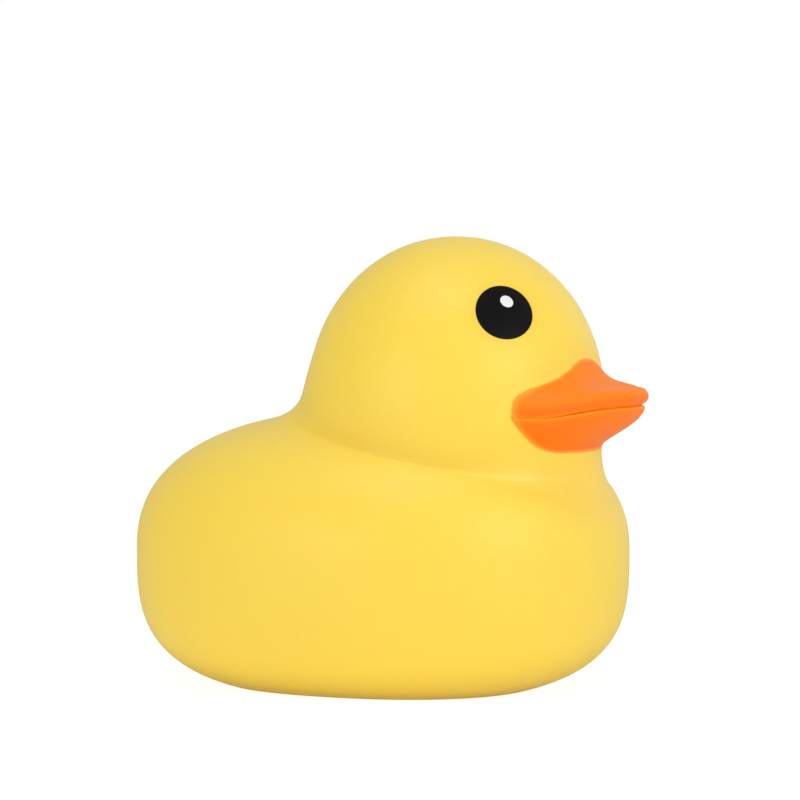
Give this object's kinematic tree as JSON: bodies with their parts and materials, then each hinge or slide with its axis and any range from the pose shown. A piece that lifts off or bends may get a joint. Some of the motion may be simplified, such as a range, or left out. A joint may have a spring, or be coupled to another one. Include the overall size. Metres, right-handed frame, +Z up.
{
  "type": "squishy toy duck",
  "caption": "Palm-sized soft toy duck with a round body, a domed head, a short two-part bill and printed eyes, for squeezing and play.",
  "frame": {"origin": "middle of the flat base, under the middle of the body", "axes": "+Z up from the base to the crown, +Y from the bill towards the tail end, so the duck faces -Y, and +X to the duck's left"},
  "size_m": [0.0678, 0.0865, 0.0729],
  "materials": {
    "soft_rubber": "satin"
  },
  "bodies": {
    "root": {"duck": "soft_rubber"}
  },
  "joints": []
}
